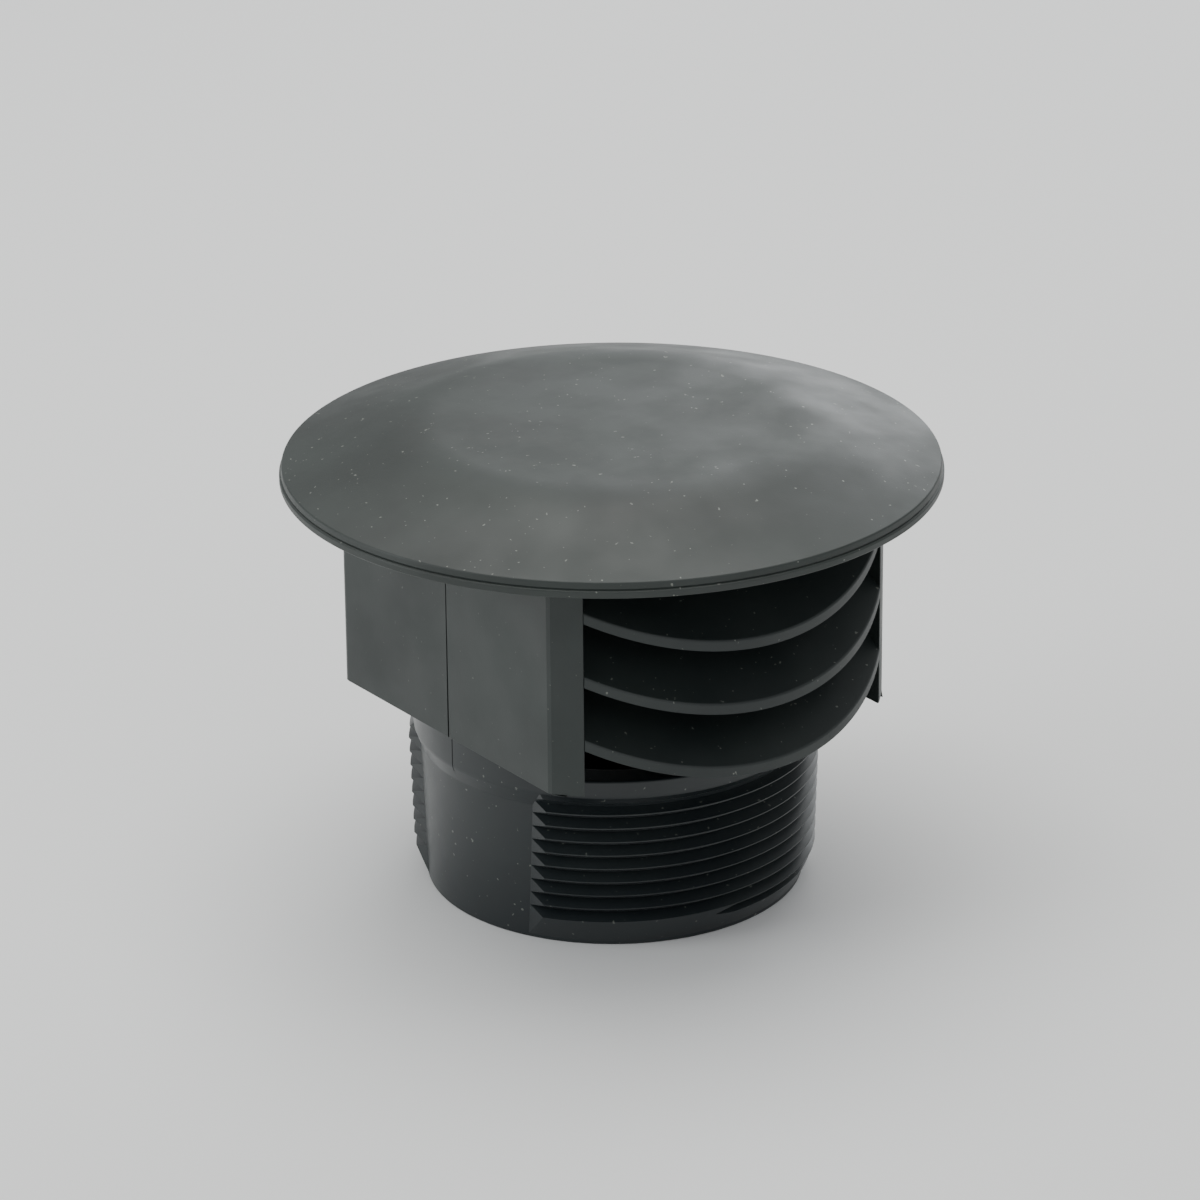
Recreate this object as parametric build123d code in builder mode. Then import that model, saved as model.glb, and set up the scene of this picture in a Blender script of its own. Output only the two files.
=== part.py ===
from build123d import *
import math
import os

os.makedirs("parts", exist_ok=True)

# A mushroom vent cap moulded in black polypropylene, in millimetres.
# The lower face of the neck is the ground plane and the neck's axis is Z.
# The louvres face -Y and +Y, and the two flat side walls face -X and +X.

# Neck: a male pipe thread of 3 inches, tapered 1 in 16 on the diameter.
pipe_radius = 44.45
thread_root_inset = 3.25
thread_depth = 2.5
thread_taper = 1 / 32
thread_lead_in = 6.7
thread_top = 33.6
thread_land_inset = 7.65
neck_wall = 4.2
neck_chamfer = 0.9

# Collar: the plain band over the thread, and the sill of the louvre openings.
collar_step = 2.4
collar_blend = 2.2
collar_height = 8.8
sill_drop = 3.1
sill_shoulder = 8.2
sill_round = 0.6

# Side walls: flat plates whose ends turn in along the body's cylinder.
wall_thickness = 3.0
wall_socket_depth = 2.0
post_width = 5.25
post_depth = 3.2
corner_round = 0.8
post_round = 0.4
foot_chamfer = 0.4

# Lugs: the neck's own wall carried up inside the side walls.
lug_rise = 14.0
lug_round = 2.0

# Louvre blades: flat plates that fall outwards, one over the other in each opening.
louvre_height = 50.0
blade_names = ("bottom", "middle", "top")
blade_slope = 30.8
blade_thickness = 2.2
blade_foot_gap = 1.1
blade_post_clearance = 0.1
blade_bore_overhang = 0.5
blade_lug_clearance = 0.5
blade_crown_clearance = 1.5

# Cap: a thin dome with a flat crown, a sloping skirt and a two-step rim.
cap_radius = 71.0
cap_overhang = 12.8
cap_thickness = 3.0
rim_thickness = 3.4
rim_step = 0.4
rim_step_height = 1.4
rim_round = 0.8
rim_lip_width = 2.0
crown_radius = 43.0
crown_rise = 11.6
shoulder_round = 40.0

# Worked out from the sizes above: the neck and the walls that stand on it.
thread_root_radius = pipe_radius - thread_root_inset
thread_half_width = pipe_radius - thread_land_inset
bore_radius = thread_root_radius - neck_wall
collar_radius = thread_root_radius + collar_step
wall_foot_height = thread_top + collar_height
sill_height = wall_foot_height - sill_drop
body_radius = cap_radius - cap_overhang
wall_inner_half = pipe_radius - wall_thickness
opening_half_width = pipe_radius - post_width
sill_half_width = opening_half_width - sill_shoulder

# The cap rests on the walls, and its slopes follow from its rim and its crown.
rim_height = wall_foot_height + louvre_height
wall_top = rim_height + wall_socket_depth
crown_height = rim_height + crown_rise
skirt_top_radius = cap_radius - rim_step
skirt_angle = math.atan2(crown_rise - rim_thickness, skirt_top_radius - crown_radius)

# The blades share the louvre's height, and the top one reaches up to the crown's underside.
blade_rise = math.tan(math.radians(blade_slope))
blade_edge_height = blade_thickness / math.cos(math.radians(blade_slope))
blade_pitch = louvre_height / (len(blade_names) + 0.5)
blade_lip_heights = [wall_foot_height + blade_foot_gap + level * blade_pitch
                     for level in range(len(blade_names))]
blade_end_height = crown_height - cap_thickness - blade_crown_clearance - blade_edge_height
blade_inner_reach = body_radius - (blade_end_height - blade_lip_heights[-1]) / blade_rise
lug_half_width = blade_inner_reach - blade_lug_clearance


def taper_radius(radius, height):
    """The radius that the tapered thread has at a height above the neck's lower face."""
    return radius + height * thread_taper


def skirt_height(radius, depth):
    """The height of the skirt at a radius, measured square to it at a depth below its top."""
    fall = (radius - crown_radius) * math.tan(skirt_angle)
    return crown_height - fall - depth / math.cos(skirt_angle)


def wall_outline(side):
    """Plan of one side wall: a flat plate with a post turned in at each end."""
    middle = side * (pipe_radius + opening_half_width) / 2
    pocket_middle = side * (wall_inner_half + opening_half_width) / 2
    with BuildSketch(Plane.XY, mode=Mode.PRIVATE) as pocket:
        Circle(body_radius - post_depth)
        with Locations((pocket_middle, 0)):
            Rectangle(wall_inner_half - opening_half_width, 2 * body_radius, mode=Mode.INTERSECT)
    with BuildSketch(Plane.XY, mode=Mode.PRIVATE) as outline:
        Circle(body_radius)
        with Locations((middle, 0)):
            Rectangle(post_width, 2 * body_radius, mode=Mode.INTERSECT)
        add(pocket.sketch, mode=Mode.SUBTRACT)
        flats = outline.vertices().group_by(Axis.X)[-1 if side > 0 else 0]
        fillet(flats, radius=corner_round)
        tips = outline.vertices().group_by(Axis.X)[0 if side > 0 else -1]
        fillet(tips.group_by(Axis.Y)[0] + tips.group_by(Axis.Y)[-1], radius=post_round)
    return outline.sketch


wall_plans = {-1: wall_outline(-1), 1: wall_outline(1)}


def louvre_blade(facing, lip_height):
    """One blade: a sloping plate whose lip follows the body's cylinder between the posts."""
    side_view = Plane(origin=(0, 0, lip_height), x_dir=(0, facing, 0), z_dir=(facing, 0, 0))
    plan_view = Plane(origin=(0, 0, lip_height - blade_pitch), x_dir=(facing, 0, 0), z_dir=(0, 0, 1))
    reach = body_radius + blade_thickness
    with BuildPart() as blade:
        with BuildSketch(side_view):
            with BuildLine():
                Polyline(
                    (blade_inner_reach, (body_radius - blade_inner_reach) * blade_rise),
                    (reach, (body_radius - reach) * blade_rise),
                    (reach, (body_radius - reach) * blade_rise + blade_edge_height),
                    (blade_inner_reach, (body_radius - blade_inner_reach) * blade_rise + blade_edge_height),
                    close=True,
                )
            make_face()
        extrude(amount=wall_inner_half, both=True)
        with BuildSketch(plan_view):
            Circle(body_radius - post_depth - blade_post_clearance)
            Rectangle(2 * wall_inner_half, 2 * body_radius, mode=Mode.INTERSECT)
            with BuildSketch(mode=Mode.PRIVATE) as lip_plan:
                Circle(body_radius)
                Rectangle(2 * opening_half_width, 2 * body_radius, mode=Mode.INTERSECT)
            add(lip_plan.sketch)
            Circle(bore_radius + blade_bore_overhang, mode=Mode.SUBTRACT)
        extrude(amount=2 * body_radius, mode=Mode.INTERSECT)
    return blade


# Neck: a tapered tube with the thread's two bands, the collar and the two lugs.
with BuildPart() as thread_bands:
    band_inner_radius = (bore_radius + thread_root_radius) / 2
    with BuildSketch(Plane.XZ) as band_section:
        with BuildLine():
            Polyline(
                (band_inner_radius, neck_chamfer),
                (taper_radius(thread_root_radius, neck_chamfer), neck_chamfer),
                (taper_radius(thread_root_radius + thread_depth, thread_lead_in), thread_lead_in),
                (taper_radius(thread_root_radius + thread_depth, thread_top), thread_top - thread_depth / 2),
                (taper_radius(thread_root_radius, thread_top), thread_top),
                (band_inner_radius, thread_top),
                close=True,
            )
        make_face()
    revolve(axis=Axis.Z)
    with BuildSketch() as band_width:
        Rectangle(2 * thread_half_width, 2 * body_radius)
    extrude(amount=sill_height, mode=Mode.INTERSECT)

with BuildPart() as neck:
    with BuildSketch(Plane.XZ) as tube_section:
        with BuildLine():
            Polyline(
                (bore_radius, 0),
                (thread_root_radius - neck_chamfer, 0),
                (taper_radius(thread_root_radius, neck_chamfer), neck_chamfer),
                (taper_radius(thread_root_radius, thread_top), thread_top),
                (collar_radius, thread_top + collar_blend),
                (collar_radius, wall_foot_height),
                (bore_radius, wall_foot_height),
                close=True,
            )
        make_face()
    revolve(axis=Axis.Z)
    with BuildSketch(Plane.XY.offset(wall_foot_height)) as sill_cut:
        Rectangle(2 * sill_half_width, 2 * body_radius)
    extrude(amount=-sill_drop, mode=Mode.SUBTRACT)
    with BuildSketch(Plane.XY.offset(wall_foot_height)) as lug_plan:
        Rectangle(2 * wall_inner_half, 2 * lug_half_width)
        Circle(bore_radius, mode=Mode.SUBTRACT)
    extrude(amount=lug_rise)
    lug_corners = neck.edges().filter_by(Axis.X).group_by(Axis.Z)[-1]
    fillet(lug_corners, radius=lug_round)
    sill_edges = neck.faces().filter_by(Axis.Z).filter_by_position(
        Axis.Z, sill_height - sill_round, sill_height + sill_round).edges().filter_by(GeomType.CIRCLE)
    chamfer(sill_edges, length=sill_round)
    add(thread_bands.part)
neck.part.label = "neck"
export_step(neck.part, "parts/neck.step")

# Side walls: each stands on the neck's shoulder, outside the lug.
for side, name in ((-1, "left_side_wall"), (1, "right_side_wall")):
    with BuildPart() as side_wall:
        with BuildSketch(Plane.XY.offset(wall_foot_height)):
            add(wall_plans[side])
        extrude(amount=wall_top - wall_foot_height)
        outer_foot = side_wall.faces().sort_by(Axis.Z)[0].edges().filter_by(
            lambda edge: max(abs((edge @ 0.5).X) - pipe_radius,
                             math.hypot((edge @ 0.5).X, (edge @ 0.5).Y) - body_radius) > -post_round)
        chamfer(outer_foot, length=foot_chamfer)
    side_wall.part.label = name
    export_step(side_wall.part, f"parts/{name}.step")

# Louvre blades: each ends between the posts of the two side walls.
for facing, opening_name in ((-1, "front"), (1, "back")):
    for blade_name, lip_height in zip(blade_names, blade_lip_heights):
        blade = louvre_blade(facing, lip_height)
        blade.part.label = f"{opening_name}_blade_{blade_name}"
        export_step(blade.part, f"parts/{blade.part.label}.step")

# Cap: the hollow under the dome leaves the sockets that the side walls end in.
with BuildPart() as cap_hollow:
    lip_radius = cap_radius - rim_lip_width
    inner_crown_radius = crown_radius - cap_thickness * math.tan(skirt_angle / 2)
    with BuildSketch(Plane.XZ) as hollow_section:
        with BuildLine():
            Polyline(
                (0, rim_height),
                (lip_radius, rim_height),
                (lip_radius, skirt_height(lip_radius, cap_thickness)),
                (inner_crown_radius, crown_height - cap_thickness),
                (0, crown_height - cap_thickness),
                close=True,
            )
        make_face()
        inner_shoulder = hollow_section.vertices().sort_by_distance((inner_crown_radius, crown_height))[0]
        fillet(inner_shoulder, radius=shoulder_round - cap_thickness)
    revolve(axis=Axis.Z)
    for plan in wall_plans.values():
        with BuildSketch(Plane.XY.offset(wall_top)):
            add(plan)
        extrude(amount=crown_rise, mode=Mode.SUBTRACT)

with BuildPart() as cap:
    with BuildSketch(Plane.XZ) as dome_section:
        with BuildLine():
            Polyline(
                (0, rim_height),
                (cap_radius, rim_height),
                (cap_radius, rim_height + rim_step_height),
                (skirt_top_radius, rim_height + rim_step_height),
                (skirt_top_radius, rim_height + rim_thickness),
                (crown_radius, crown_height),
                (0, crown_height),
                close=True,
            )
        make_face()
        shoulder = dome_section.vertices().sort_by_distance((crown_radius, crown_height))[0]
        fillet(shoulder, radius=shoulder_round)
        rim_edge = dome_section.vertices().sort_by_distance(
            (skirt_top_radius, rim_height + rim_thickness))[0]
        chamfer(rim_edge, length=rim_round)
    revolve(axis=Axis.Z)
    add(cap_hollow.part, mode=Mode.SUBTRACT)
cap.part.label = "cap"
export_step(cap.part, "parts/cap.step")
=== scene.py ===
import math

import bmesh
import bpy
from mathutils import Matrix, Vector


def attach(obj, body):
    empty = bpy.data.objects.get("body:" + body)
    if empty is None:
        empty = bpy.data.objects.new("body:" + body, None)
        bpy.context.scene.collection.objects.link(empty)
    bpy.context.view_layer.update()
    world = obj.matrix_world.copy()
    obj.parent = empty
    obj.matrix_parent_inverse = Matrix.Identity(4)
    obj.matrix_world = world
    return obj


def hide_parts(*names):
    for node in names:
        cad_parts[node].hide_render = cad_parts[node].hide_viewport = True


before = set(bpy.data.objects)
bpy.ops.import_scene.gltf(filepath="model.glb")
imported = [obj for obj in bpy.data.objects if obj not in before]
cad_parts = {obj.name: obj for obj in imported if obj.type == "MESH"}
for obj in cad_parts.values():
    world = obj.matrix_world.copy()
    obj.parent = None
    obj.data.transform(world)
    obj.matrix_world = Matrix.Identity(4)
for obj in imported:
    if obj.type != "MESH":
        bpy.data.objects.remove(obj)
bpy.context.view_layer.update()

# Neck
# The threaded tube that screws into the tank, moulded in black polypropylene in one shot with the rest.
# Its thread is tapered 1 in 16, has 8 turns to the inch, and is left off in two bands at the mould's
# parting plane. The plain collar over it carries the side walls and is the sill of both louvres.
mm = 0.001
turned_steps = 256

pipe_radius = 44.45 * mm
root_radius = 41.2 * mm
thread_taper = 1 / 32
bore_radius = 37.0 * mm
neck_edge_round = 0.4 * mm
flare_bottom = 31.8 * mm
flare_top = 35.4 * mm
flare_round = 3.0 * mm
collar_radius = 43.6 * mm
wall_foot = 42.4 * mm
sill_height = 39.3 * mm
sill_half_width = 31.0 * mm
sill_round = 0.6 * mm


def rounded(corners, segments=6):
    """Points round a closed outline of (across, up, radius) corners, with an arc at each corner."""
    points = []
    for number, (across, up, radius) in enumerate(corners):
        corner = Vector((across, up))
        into = (Vector(corners[number - 1][:2]) - corner).normalized()
        out = (Vector(corners[(number + 1) % len(corners)][:2]) - corner).normalized()
        if not radius:
            points.append(corner)
            continue
        half_angle = into.angle(out) / 2
        centre = corner + (into + out).normalized() * radius / math.sin(half_angle)
        start = corner + into * radius / math.tan(half_angle) - centre
        end = corner + out * radius / math.tan(half_angle) - centre
        sweep = math.copysign(math.pi - 2 * half_angle, start.cross(end))
        points += [centre + Matrix.Rotation(sweep * step / segments, 2) @ start for step in range(segments + 1)]
    return points


def drawn(name, points):
    """A closed line through points of (radius, height), drawn by extruding one vertex in edit mode."""
    bpy.ops.object.select_all(action="DESELECT")
    bpy.ops.mesh.primitive_plane_add(size=mm)
    bpy.context.object.name = name
    bpy.ops.object.mode_set(mode="EDIT")
    bpy.ops.mesh.select_mode(type="VERT")
    bpy.ops.mesh.merge(type="CENTER")
    bpy.ops.transform.translate(value=(points[0][0], 0, points[0][1]))
    for here, there in zip(points, points[1:] + points[:1]):
        step = (there[0] - here[0], 0, there[1] - here[1])
        bpy.ops.mesh.extrude_region_move(TRANSFORM_OT_translate={"value": step})
    bpy.ops.mesh.select_all(action="SELECT")
    bpy.ops.mesh.remove_doubles(threshold=0.001 * mm)
    return bpy.context.object


def turned(name, points):
    """A solid turned round Z from a closed outline of (radius, height) points."""
    piece = drawn(name, points)
    bpy.ops.mesh.select_all(action="SELECT")
    bpy.ops.mesh.spin(steps=turned_steps, angle=math.tau, center=(0, 0, 0), axis=(0, 0, 1))
    bpy.ops.mesh.select_all(action="SELECT")
    bpy.ops.mesh.remove_doubles(threshold=0.001 * mm)
    bpy.ops.mesh.delete_loose()
    bpy.ops.mesh.select_all(action="SELECT")
    bpy.ops.mesh.normals_make_consistent(inside=False)
    bpy.ops.object.mode_set(mode="OBJECT")
    return piece


def picked(piece):
    """Makes piece the only object that the next operator acts on."""
    bpy.ops.object.select_all(action="DESELECT")
    piece.select_set(True)
    bpy.context.view_layer.objects.active = piece


def trimmed(piece, place, outwards):
    """Cuts piece off flat at a place, and closes the cut."""
    picked(piece)
    bpy.ops.object.mode_set(mode="EDIT")
    bpy.ops.mesh.select_all(action="SELECT")
    bpy.ops.mesh.bisect(plane_co=place, plane_no=outwards, use_fill=True, clear_outer=True)
    bpy.ops.object.mode_set(mode="OBJECT")
    return piece


def combined(piece, other, operation):
    """Joins other to piece, cuts it away or keeps what both fill, and then removes other."""
    picked(piece)
    boolean = piece.modifiers.new("shape", "BOOLEAN")
    boolean.operation, boolean.object, boolean.solver = operation, other, "EXACT"
    bpy.ops.object.modifier_apply(modifier=boolean.name)
    bpy.data.objects.remove(other)
    return piece


def block(name, low, high):
    """A box between two corners."""
    bpy.ops.object.select_all(action="DESELECT")
    bpy.ops.mesh.primitive_cube_add(size=1)
    piece = bpy.context.object
    piece.name = name
    bpy.ops.object.mode_set(mode="EDIT")
    bpy.ops.transform.resize(value=[b - a for a, b in zip(low, high)])
    bpy.ops.transform.translate(value=[(a + b) / 2 for a, b in zip(low, high)])
    bpy.ops.object.mode_set(mode="OBJECT")
    return piece


def drum(name, radius, low, high):
    """A round block on Z between two heights."""
    bpy.ops.object.select_all(action="DESELECT")
    bpy.ops.mesh.primitive_cylinder_add(vertices=turned_steps, radius=radius, depth=high - low)
    piece = bpy.context.object
    piece.name = name
    bpy.ops.object.mode_set(mode="EDIT")
    bpy.ops.transform.translate(value=(0, 0, (low + high) / 2))
    bpy.ops.object.mode_set(mode="OBJECT")
    return piece


def root_at(height):
    """The radius of the thread's root at a height above the neck's lower face."""
    return root_radius + height * thread_taper


neck = turned("neck_piece", rounded([
    (bore_radius, 0, neck_edge_round),
    (root_at(0), 0, neck_edge_round),
    (root_at(flare_bottom), flare_bottom, 1.5 * mm),
    (collar_radius, flare_top, flare_round),
    (collar_radius, sill_height, sill_round),
    (bore_radius, sill_height, sill_round),
]))

# On both sides the collar goes on up to the foot of the side wall.
shoulder_lap = 1.3 * mm
shoulder_skin = 0.005 * mm
shoulders = []
for side in (-1, 1):
    shoulder = turned("shoulder", [
        Vector((bore_radius - shoulder_skin, sill_height - shoulder_lap)),
        Vector((collar_radius + shoulder_skin, sill_height - shoulder_lap)),
        Vector((collar_radius + shoulder_skin, wall_foot)),
        Vector((bore_radius - shoulder_skin, wall_foot)),
    ])
    shoulders.append(trimmed(shoulder, (side * sill_half_width, 0, 0), (-side, 0, 0)))

# Two lugs stand on the neck inside the side walls.
lug_height = 56.4 * mm
lug_half_width = 15.98 * mm
lug_round = 2.0 * mm
wall_inner = 41.45 * mm
lugs = block("lugs", (-wall_inner, -lug_half_width, wall_foot - mm), (wall_inner, lug_half_width, lug_height))
bpy.ops.object.mode_set(mode="EDIT")
bpy.ops.mesh.select_mode(type="EDGE")
bpy.ops.mesh.select_all(action="DESELECT")
lug_mesh = bmesh.from_edit_mesh(lugs.data)
for edge in lug_mesh.edges:
    edge.select_set(all(abs(corner.co.z - lug_height) < mm for corner in edge.verts)
                    and abs(edge.verts[0].co.y - edge.verts[1].co.y) < mm)
bpy.ops.mesh.bevel(offset=lug_round, segments=6)
bpy.ops.object.mode_set(mode="OBJECT")
combined(lugs, drum("lug_bore", bore_radius, wall_foot - 2 * mm, lug_height + mm), "DIFFERENCE")

# The thread is cut from a blank band, which has a long lead-in below and ends flat on both sides.
thread_pitch = 25.4 / 8 * mm
thread_depth = 2.5 * mm
thread_lead_in = 6.7 * mm
thread_start = 0.9 * mm
thread_end = 33.6 * mm
thread_blend = 1.6 * mm
thread_half_width = 36.8 * mm
band_inner_radius = 39.0 * mm
thread = turned("thread", [
    Vector((band_inner_radius, thread_start)),
    Vector((root_at(thread_start), thread_start)),
    Vector((root_at(thread_lead_in) + thread_depth, thread_lead_in)),
    Vector((root_at(thread_end) + thread_depth, thread_end)),
    Vector((collar_radius - 0.1 * mm, thread_end + thread_blend)),
    Vector((band_inner_radius, thread_end + thread_blend)),
])
for side in (-1, 1):
    trimmed(thread, (side * thread_half_width, 0, 0), (side, 0, 0))

# The groove is a coiled cutter with 60 degrees between its flanks, pointed where it starts.
groove_turns = 10
groove_steps = 128
groove_floor = 0.03 * mm
groove_half_floor = 0.03 * mm
crest_break = 0.12 * mm
groove_rise = math.tan(math.radians(30))
groove_start_turn = math.radians(-90)
groove_start_height = 5.23 * mm
groove_tip_turn = math.radians(-9)
flank_top = thread_depth - crest_break
flank_half_width = groove_half_floor + groove_rise * flank_top
groove = drawn("groove", [
    Vector((root_radius + groove_floor, -groove_half_floor)),
    Vector((root_radius + flank_top, -flank_half_width)),
    Vector((root_radius + thread_depth, -flank_half_width - 0.6 * crest_break)),
    Vector((root_radius + thread_depth + mm, -0.48 * thread_pitch)),
    Vector((root_radius + thread_depth + mm, 0.48 * thread_pitch)),
    Vector((root_radius + thread_depth, flank_half_width + 0.6 * crest_break)),
    Vector((root_radius + flank_top, flank_half_width)),
    Vector((root_radius + groove_floor, groove_half_floor)),
])
bpy.ops.object.mode_set(mode="OBJECT")
coil = groove.modifiers.new("coil", "SCREW")
coil.angle, coil.screw_offset, coil.iterations = math.tau, thread_pitch, groove_turns
coil.steps = coil.render_steps = groove_steps
bpy.ops.object.modifier_apply(modifier=coil.name)
bpy.ops.object.mode_set(mode="EDIT")
bpy.ops.mesh.select_mode(type="EDGE")
bpy.ops.mesh.select_all(action="DESELECT")
bpy.ops.mesh.select_non_manifold()
bpy.ops.mesh.edge_face_add()
bpy.ops.mesh.select_mode(type="FACE")
groove_mesh = bmesh.from_edit_mesh(groove.data)
for face in groove_mesh.faces:
    face.select_set(len(face.verts) == 8 and face.calc_center_median().z < thread_pitch)
tip_radius = root_radius + thread_depth + 0.5 * mm
tip = Vector((tip_radius * math.cos(groove_tip_turn), tip_radius * math.sin(groove_tip_turn),
              thread_pitch * groove_tip_turn / math.tau))
start_centre = Vector((root_radius + thread_depth, 0, 0))
bpy.ops.mesh.extrude_region_move(TRANSFORM_OT_translate={"value": tip - start_centre})
bpy.ops.mesh.merge(type="COLLAPSE")
bpy.ops.mesh.select_all(action="SELECT")
bpy.ops.mesh.normals_make_consistent(inside=False)
bpy.ops.object.mode_set(mode="OBJECT")
groove.location.z = groove_start_height
groove.rotation_euler.z = groove_start_turn
bpy.ops.object.transform_apply()
taper = groove.modifiers.new("taper", "SIMPLE_DEFORM")
taper.deform_method, taper.deform_axis = "TAPER", "Z"
groove_heights = [corner.co.z for corner in groove.data.vertices]
taper.factor = (max(groove_heights) - min(groove_heights)) * thread_taper / root_radius
bpy.ops.object.modifier_apply(modifier=taper.name)
combined(thread, groove, "DIFFERENCE")

# The mould's two halves meet on both sides of the collar, where the step between them shows as a slit.
slit_place = -1.0 * mm
slit_width = 0.25 * mm
slit_depth = 0.5 * mm
slit_foot = 33.2 * mm
for side, shoulder in zip((-1, 1), shoulders):
    reach = sorted((side * (collar_radius - slit_depth), side * (collar_radius + mm)))
    for solid in (neck, shoulder):
        combined(solid, block("slit", (reach[0], slit_place - slit_width / 2, slit_foot),
                              (reach[1], slit_place + slit_width / 2, wall_foot + mm)), "DIFFERENCE")
bpy.ops.object.select_all(action="DESELECT")
for solid in (thread, lugs, *shoulders, neck):
    solid.select_set(True)
bpy.context.view_layer.objects.active = neck
bpy.ops.object.join()


def finished(piece):
    """Merges what the cuts left double, points the faces outwards and smooths the rounded ones."""
    picked(piece)
    bpy.ops.object.mode_set(mode="EDIT")
    bpy.ops.mesh.select_all(action="SELECT")
    bpy.ops.mesh.remove_doubles(threshold=0.002 * mm)
    bpy.ops.mesh.normals_make_consistent(inside=False)
    bpy.ops.object.mode_set(mode="OBJECT")
    bpy.ops.object.shade_smooth_by_angle(angle=math.radians(28))
    weighted = piece.modifiers.new("weighted", "WEIGHTED_NORMAL")
    weighted.keep_sharp = True
    bpy.ops.object.modifier_apply(modifier=weighted.name)


finished(neck)


def moulded_surface():
    """The look of moulded polypropylene: a clouded colour, a clouded gloss, fine stipple and stray specks."""
    group = bpy.data.node_groups.new("moulded_surface", "ShaderNodeTree")
    for title, kind, value in (("Place", "NodeSocketVector", None), ("Dark", "NodeSocketColor", None),
                               ("Light", "NodeSocketColor", None), ("Smooth", "NodeSocketFloat", 0.4),
                               ("Rough", "NodeSocketFloat", 0.5), ("Stipple", "NodeSocketFloat", 1.0),
                               ("Specks", "NodeSocketFloat", 1.0)):
        socket = group.interface.new_socket(name=title, in_out="INPUT", socket_type=kind)
        if value is not None:
            socket.default_value = value
    for title, kind in (("Colour", "NodeSocketColor"), ("Roughness", "NodeSocketFloat"), ("Height", "NodeSocketFloat")):
        group.interface.new_socket(name=title, in_out="OUTPUT", socket_type=kind)
    nodes, links = group.nodes, group.links
    given, result = nodes.new("NodeGroupInput"), nodes.new("NodeGroupOutput")

    def noise(scale, detail):
        node = nodes.new("ShaderNodeTexNoise")
        node.inputs["Scale"].default_value = scale
        node.inputs["Detail"].default_value = detail
        links.new(given.outputs["Place"], node.inputs["Vector"])
        return node.outputs["Fac"]

    def ranged(value, low, high, to_low=0.0, to_high=1.0):
        node = nodes.new("ShaderNodeMapRange")
        links.new(value, node.inputs["Value"])
        for title, number in (("From Min", low), ("From Max", high), ("To Min", to_low), ("To Max", to_high)):
            if isinstance(number, float):
                node.inputs[title].default_value = number
            else:
                links.new(number, node.inputs[title])
        return node.outputs["Result"]

    def times(first, second):
        node = nodes.new("ShaderNodeMath")
        node.operation = "MULTIPLY"
        for socket, value in zip(node.inputs, (first, second)):
            if isinstance(value, float):
                socket.default_value = value
            else:
                links.new(value, socket)
        return node.outputs["Value"]

    clouds = ranged(noise(38.0, 3.0), 0.38, 0.64)
    specks = times(ranged(noise(900.0, 1.0), 0.74, 0.78), given.outputs["Specks"])
    colour = nodes.new("ShaderNodeMix")
    colour.data_type = "RGBA"
    links.new(clouds, colour.inputs["Factor"])
    links.new(given.outputs["Dark"], colour.inputs["A"])
    links.new(given.outputs["Light"], colour.inputs["B"])
    speckled = nodes.new("ShaderNodeMix")
    speckled.data_type = "RGBA"
    speckled.inputs["B"].default_value = (0.16, 0.17, 0.15, 1)
    links.new(specks, speckled.inputs["Factor"])
    links.new(colour.outputs["Result"], speckled.inputs["A"])
    links.new(speckled.outputs["Result"], result.inputs["Colour"])
    links.new(ranged(noise(60.0, 4.0), 0.35, 0.65, given.outputs["Smooth"], given.outputs["Rough"]),
              result.inputs["Roughness"])
    links.new(times(noise(3200.0, 2.0), given.outputs["Stipple"]), result.inputs["Height"])
    return group


surface_group = moulded_surface()


def plastic(name, dark, light, smooth, rough, stipple, specks):
    """A black polypropylene whose colour and gloss lie between two values."""
    material = bpy.data.materials.new(name)
    material.use_nodes = True
    nodes, links = material.node_tree.nodes, material.node_tree.links
    place = nodes.new("ShaderNodeTexCoord")
    surface = nodes.new("ShaderNodeGroup")
    surface.node_tree = surface_group
    surface.inputs["Dark"].default_value = (*dark, 1)
    surface.inputs["Light"].default_value = (*light, 1)
    for title, value in (("Smooth", smooth), ("Rough", rough), ("Stipple", stipple), ("Specks", specks)):
        surface.inputs[title].default_value = value
    bump = nodes.new("ShaderNodeBump")
    bump.inputs["Strength"].default_value = 0.5
    bump.inputs["Distance"].default_value = 0.03 * mm
    shader = nodes["Principled BSDF"]
    shader.inputs["IOR"].default_value = 1.49
    links.new(place.outputs["Object"], surface.inputs["Place"])
    links.new(surface.outputs["Colour"], shader.inputs["Base Color"])
    links.new(surface.outputs["Roughness"], shader.inputs["Roughness"])
    links.new(surface.outputs["Height"], bump.inputs["Height"])
    links.new(bump.outputs["Normal"], shader.inputs["Normal"])
    return material


# The neck's tone is set the darkest of the one moulding: painted shade, for the shade under the walls and cap.
neck.data.materials.clear()
neck.data.materials.append(plastic("neck_polypropylene", (0.011, 0.015, 0.017), (0.015, 0.020, 0.021),
                                   0.30, 0.40, 0.6, 0.7))
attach(neck, "root")
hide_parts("neck")

# Side walls
# Two flat walls that carry the cap, moulded with the neck and the blades. Each ends in a post on
# either side that turns in along the body's cylinder and frames the louvre.
body_radius = 58.2 * mm
post_radius = 55.0 * mm
opening_half_width = 39.2 * mm
wall_top = 94.4 * mm
corner_bevel = 0.55 * mm
post_round = 0.4 * mm
foot_round = 0.3 * mm
wall_slit_top_width = 0.2 * mm
wall_slit_foot_width = 0.5 * mm
wall_polypropylene = plastic("wall_polypropylene", (0.014, 0.019, 0.018), (0.020, 0.027, 0.025),
                             0.44, 0.54, 1.0, 0.4)


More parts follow.
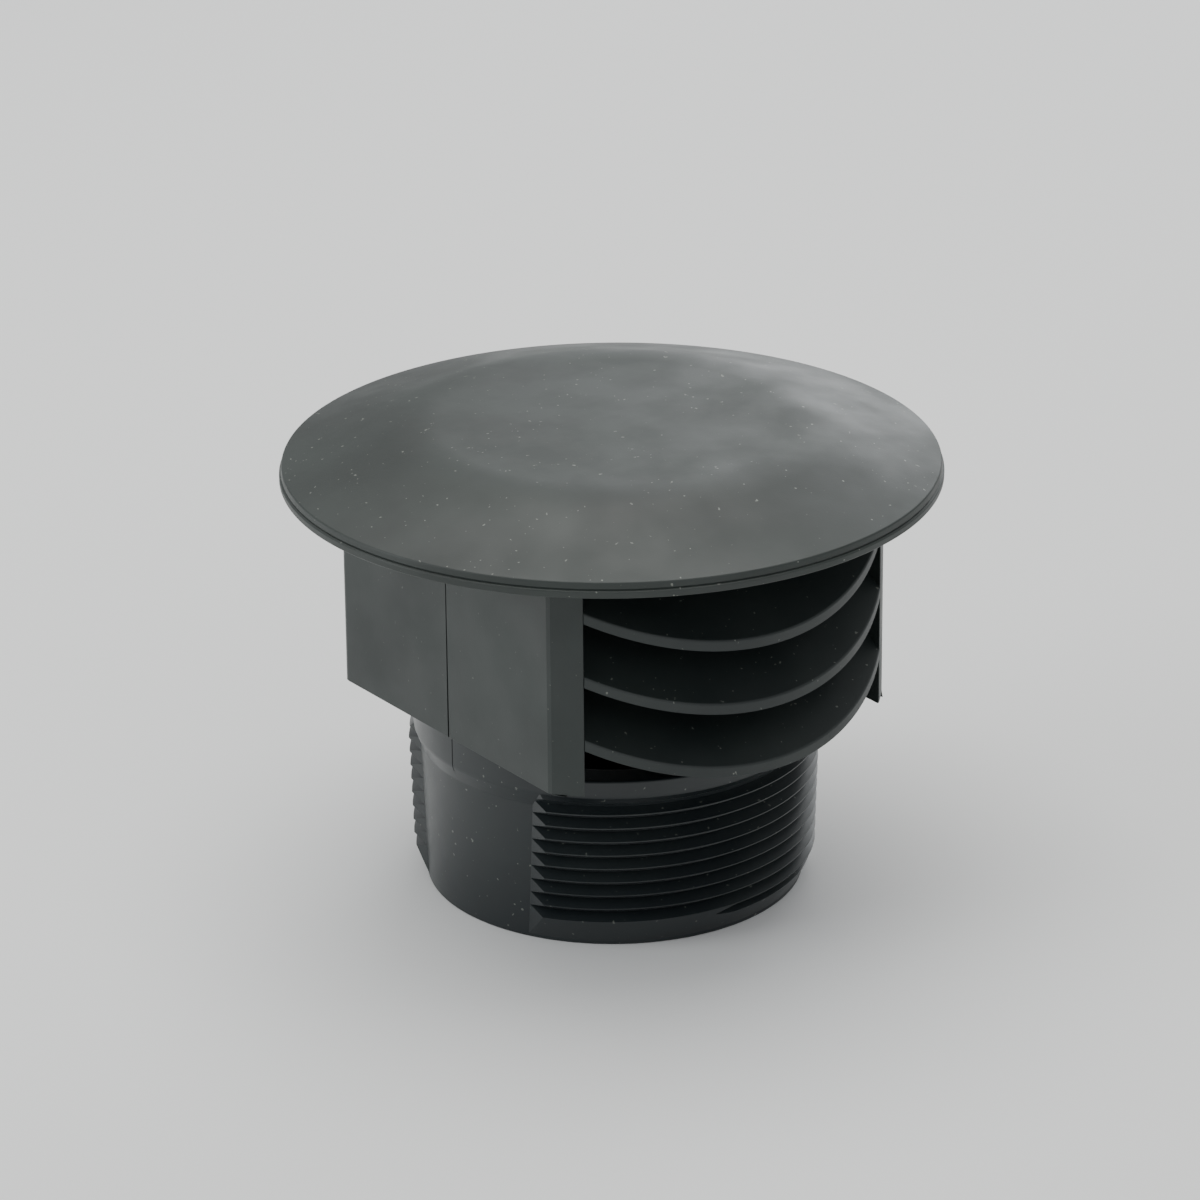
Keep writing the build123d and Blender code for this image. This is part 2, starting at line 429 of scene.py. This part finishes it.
def edged(piece, chosen, offset, segments):
    """Bevels the edges of piece whose two corners chosen() holds for."""
    picked(piece)
    bpy.ops.object.mode_set(mode="EDIT")
    bpy.ops.mesh.select_mode(type="EDGE")
    bpy.ops.mesh.select_all(action="DESELECT")
    mesh = bmesh.from_edit_mesh(piece.data)
    for edge in mesh.edges:
        edge.select_set(chosen(*(corner.co for corner in edge.verts)))
    bpy.ops.mesh.bevel(offset=offset, segments=segments)
    bpy.ops.object.mode_set(mode="OBJECT")


def upright(first, second):
    """Whether an edge stands along Z."""
    return (first - second).xy.length < 0.01 * mm and abs(first.z - second.z) > mm


def level_at(height):
    """A test for edges that lie at a height."""
    return lambda first, second: abs(first.z - height) + abs(second.z - height) < 0.01 * mm


for side, wall_name in ((-1, "left_side_wall"), (1, "right_side_wall")):
    wall = drum(f"{wall_name}_piece", body_radius, wall_foot, wall_top)
    trimmed(wall, (side * pipe_radius, 0, 0), (side, 0, 0))
    trimmed(wall, (side * opening_half_width, 0, 0), (-side, 0, 0))
    pocket = drum("pocket", post_radius, wall_foot - mm, wall_top + mm)
    trimmed(pocket, (side * wall_inner, 0, 0), (side, 0, 0))
    trimmed(pocket, (side * (opening_half_width - mm), 0, 0), (-side, 0, 0))
    combined(wall, pocket, "DIFFERENCE")
    slit = block("slit", (-slit_depth, -wall_slit_foot_width / 2, wall_foot - mm),
                 (slit_depth, wall_slit_foot_width / 2, wall_top + mm))
    bpy.ops.object.mode_set(mode="EDIT")
    bpy.ops.mesh.select_mode(type="FACE")
    bpy.ops.mesh.select_all(action="DESELECT")
    slit_mesh = bmesh.from_edit_mesh(slit.data)
    for face in slit_mesh.faces:
        face.select_set(face.normal.z > 0.5)
    bpy.ops.transform.resize(value=(1, wall_slit_top_width / wall_slit_foot_width, 1),
                             center_override=(0, 0, wall_top + mm))
    bpy.ops.mesh.select_all(action="SELECT")
    bpy.ops.transform.translate(value=(side * pipe_radius, slit_place, 0))
    bpy.ops.object.mode_set(mode="OBJECT")
    combined(wall, slit, "DIFFERENCE")
    corner_reach = math.sqrt(body_radius ** 2 - pipe_radius ** 2)
    tip_reach = math.sqrt(body_radius ** 2 - opening_half_width ** 2)
    edged(wall, lambda a, b: upright(a, b) and abs(abs(a.x) - opening_half_width) < 0.1 * mm
          and abs(abs(a.y) - tip_reach) < 0.2 * mm, post_round, 3)
    edged(wall, lambda a, b: upright(a, b) and abs(abs(a.x) - pipe_radius) < 0.1 * mm, corner_bevel, 1)
    edged(wall, lambda a, b: upright(a, b) and abs(a.y) > corner_reach - mm and abs(a.y) < corner_reach + mm
          and abs(a.x) > pipe_radius - 0.6 * mm and a.xy.length > post_radius + 2 * mm, 0.1 * mm, 2)
    edged(wall, lambda a, b: level_at(wall_foot)(a, b)
          and min(pipe_radius - abs(((a + b) / 2).x), body_radius - ((a + b) / 2).xy.length) < 0.2 * mm,
          foot_round, 2)
    finished(wall)
    wall.data.materials.clear()
    wall.data.materials.append(wall_polypropylene)
    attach(wall, "root")
    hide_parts(wall_name)

# Louvre blades
# Six flat blades in black polypropylene, three in each louvre, that fall outwards and shed the rain.
# Each is moulded on to the posts of the two side walls, and its lip follows the body's cylinder.
blade_slope = math.radians(30.8)
blade_thickness = 2.2 * mm
blade_lip_height = 43.5 * mm
blade_pitch = 50 / 3.5 * mm
blade_channel_radius = 54.9 * mm
blade_inner_radius = 37.5 * mm
blade_inner_reach = 16.48 * mm
lip_round = 0.4 * mm
blade_height = 40 * mm
blade = drum("blade", body_radius, -mm, blade_height)
channel = drum("channel", blade_channel_radius, -2 * mm, blade_height + mm)
for side in (-1, 1):
    trimmed(blade, (side * opening_half_width, 0, 0), (side, 0, 0))
    trimmed(channel, (side * wall_inner, 0, 0), (side, 0, 0))
combined(blade, channel, "UNION")
trimmed(blade, (0, -blade_inner_reach, 0), (0, 1, 0))
combined(blade, drum("bore", blade_inner_radius, -3 * mm, blade_height + 2 * mm), "DIFFERENCE")
slab = block("slab", (-body_radius, -body_radius * 2, 0), (body_radius, body_radius * 2, blade_thickness))
slab.rotation_euler.x = blade_slope
bpy.ops.object.transform_apply()
bpy.ops.object.mode_set(mode="EDIT")
bpy.ops.transform.translate(value=(0, -body_radius, 0))
bpy.ops.object.mode_set(mode="OBJECT")
combined(blade, slab, "INTERSECT")
edged(blade, lambda a, b: min(a.xy.length, b.xy.length) > body_radius - 0.02 * mm
      and (a - b).xy.length > 0.1 * mm, lip_round, 4)
finished(blade)
# The blades' tone is set darker than the walls' tone of the same moulding: painted shade, for the shade between the
# blades.
blade.data.materials.clear()
blade.data.materials.append(plastic("blade_polypropylene", (0.012, 0.017, 0.017), (0.018, 0.024, 0.023),
                                    0.42, 0.52, 1.0, 0.8))
for opening_turn, opening_name in ((0, "front"), (math.pi, "back")):
    for level, level_name in enumerate(("bottom", "middle", "top")):
        picked(blade)
        bpy.ops.object.duplicate(linked=False)
        louvre = bpy.context.object
        louvre.name = f"{opening_name}_blade_{level_name}_piece"
        louvre.location.z = blade_lip_height + level * blade_pitch
        louvre.rotation_euler.z = opening_turn
        bpy.ops.object.transform_apply()
        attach(louvre, "root")
        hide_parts(f"{opening_name}_blade_{level_name}")
bpy.data.objects.remove(blade)

# Cap
# The domed lid that keeps rain out, in black polypropylene, with a flat crown and a sloping skirt.
# Its rim has a step where the mould's halves meet, and it rests on the two side walls.
rim_height = 92.4 * mm
crown_height = 104.0 * mm
cap_radius = 71.0 * mm
cap_thickness = 3.0 * mm
crown_radius = 43.0 * mm
shoulder_round = 40.0 * mm
skirt_edge_radius = 70.45 * mm
skirt_edge_height = 95.75 * mm
skirt_fall = (crown_height - skirt_edge_height) / (skirt_edge_radius - crown_radius)
cap = turned("cap_piece", rounded([
    (0, crown_height, 0),
    (0, crown_height - cap_thickness, 0),
    (crown_radius, crown_height - cap_thickness, shoulder_round - cap_thickness),
    (cap_radius - 2.0 * mm, crown_height - cap_thickness - skirt_fall * (cap_radius - 2.0 * mm - crown_radius), 0),
    (cap_radius - 2.0 * mm, rim_height, 0.3 * mm),
    (cap_radius, rim_height, 0.35 * mm),
    (cap_radius, rim_height + 1.45 * mm, 0.35 * mm),
    (cap_radius - 0.55 * mm, rim_height + 1.75 * mm, 0),
    (cap_radius - 0.35 * mm, rim_height + 2.1 * mm, 0.1 * mm),
    (skirt_edge_radius, skirt_edge_height, 0.5 * mm),
    (crown_radius, crown_height, shoulder_round),
]))
finished(cap)
# The cap's tone is set lighter than that of the other pieces of the same moulding: painted light, for the light from
# above on its top.
cap.data.materials.clear()
cap.data.materials.append(plastic("cap_polypropylene", (0.017, 0.022, 0.020), (0.024, 0.031, 0.028),
                                  0.42, 0.54, 1.0, 1.0))
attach(cap, "root")
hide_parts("cap")

# Studio
# A pale floor under soft studio light. It isn't part of the vent cap.
bpy.ops.object.select_all(action="DESELECT")
bpy.ops.mesh.primitive_plane_add(size=8)
floor = bpy.context.object
floor.name = "floor"
floor_material = bpy.data.materials.new("pale_floor")
floor_material.use_nodes = True
floor_material.node_tree.nodes["Principled BSDF"].inputs["Base Color"].default_value = (0.86, 0.86, 0.86, 1)
floor_material.node_tree.nodes["Principled BSDF"].inputs["Roughness"].default_value = 0.9
floor.data.materials.append(floor_material)


def softbox(name, place, aim, width, height, power, colour):
    """A rectangular studio light that faces a point."""
    lamp = bpy.data.lights.new(name, "AREA")
    lamp.shape, lamp.size, lamp.size_y, lamp.energy, lamp.color = "RECTANGLE", width, height, power, colour
    holder = bpy.data.objects.new(name, lamp)
    bpy.context.scene.collection.objects.link(holder)
    holder.location = place
    holder.rotation_euler = (Vector(aim) - Vector(place)).to_track_quat("-Z", "Y").to_euler()


middle = (0, 0, 0.06)
softbox("top_light", (0.1, 0.3, 1.3), middle, 1.2, 1.2, 14, (1.0, 1.0, 0.97))
softbox("left_light", (-1.3, 0.5, 0.6), middle, 0.8, 0.9, 8, (0.96, 1.0, 1.0))
softbox("right_light", (1.2, 0.9, 0.5), middle, 0.8, 0.8, 6, (0.95, 0.98, 1.0))
softbox("front_light", (-0.3, -1.6, 1.0), middle, 1.0, 1.0, 3, (0.97, 0.98, 1.0))
world = bpy.data.worlds.new("studio")
world.use_nodes = True
world.node_tree.nodes["Background"].inputs["Color"].default_value = (0.93, 0.95, 0.96, 1)
world.node_tree.nodes["Background"].inputs["Strength"].default_value = 0.55
bpy.context.scene.world = world

# Camera
# It stands where the photograph was taken from, worked out from the rim, the walls and the neck.
view_azimuth = math.radians(-36.32)
view_elevation = math.radians(22.78)
view_roll = math.radians(-0.54)
view_distance = 1196.8 * mm
view_right = 2.75 * mm
view_up = 27.6 * mm
lens_length = 168.0
camera = bpy.data.objects.new("camera", bpy.data.cameras.new("camera"))
bpy.context.scene.collection.objects.link(camera)
tilt = math.pi / 2 - view_elevation
level_turn = Matrix.Rotation(view_azimuth, 4, "Z") @ Matrix.Rotation(tilt, 4, "X")
camera.matrix_world = (Matrix.Translation((0, 0, rim_height)) @ level_turn
                       @ Matrix.Translation((-view_right, -view_up, view_distance))
                       @ Matrix.Rotation(view_roll, 4, "Z"))
camera.data.lens = lens_length
camera.data.sensor_width = 36.0
bpy.context.scene.camera = camera
